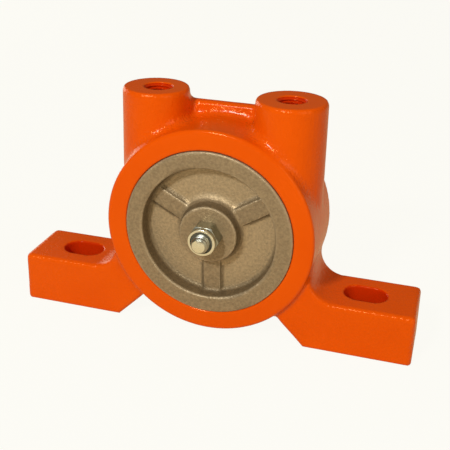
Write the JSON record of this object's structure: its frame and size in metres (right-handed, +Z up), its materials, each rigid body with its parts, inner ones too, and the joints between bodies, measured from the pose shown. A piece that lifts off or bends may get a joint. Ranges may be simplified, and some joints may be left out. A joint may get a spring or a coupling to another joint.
{
  "type": "pneumatic ball vibrator",
  "caption": "Cast air-driven ball vibrator on slotted feet: compressed air through the threaded top ports drives a steel ball round hardened races between bolted covers.",
  "frame": {"origin": "midway between the two foot slots, on the underside of the feet", "axes": "+X along the feet towards the exhaust port, +Y along the barrel from the nut side to the bolt head side, +Z up out of the ports"},
  "size_m": [0.1906, 0.0567, 0.1118],
  "materials": {
    "housing_enamel": "gloss orange enamel on cast iron",
    "race_steel": "ground, hardened",
    "ball_steel": "polished bearing steel",
    "cover_casting": "cast, plated, warm grey",
    "seal_rubber": "moulded nitrile",
    "zinc_steel": "bright zinc plate",
    "nylon": "moulded nylon"
  },
  "bodies": {
    "casing": {"housing": "housing_enamel", "front_race": "race_steel", "rear_race": "race_steel", "front_cover": "cover_casting", "rear_cover": "cover_casting", "front_cover_seal": "seal_rubber", "rear_cover_seal": "seal_rubber", "centre_bolt": "zinc_steel", "lock_nut": "zinc_steel", "lock_nut_insert": "nylon"},
    "ball": {"ball": "ball_steel"}
  },
  "joints": [
    {"name": "ball_orbit", "type": "hinge", "parent": "casing", "child": "ball", "pos_m": [0, 0, 0.0515], "axis": [0, 1, 0], "continuous": true}
  ]
}
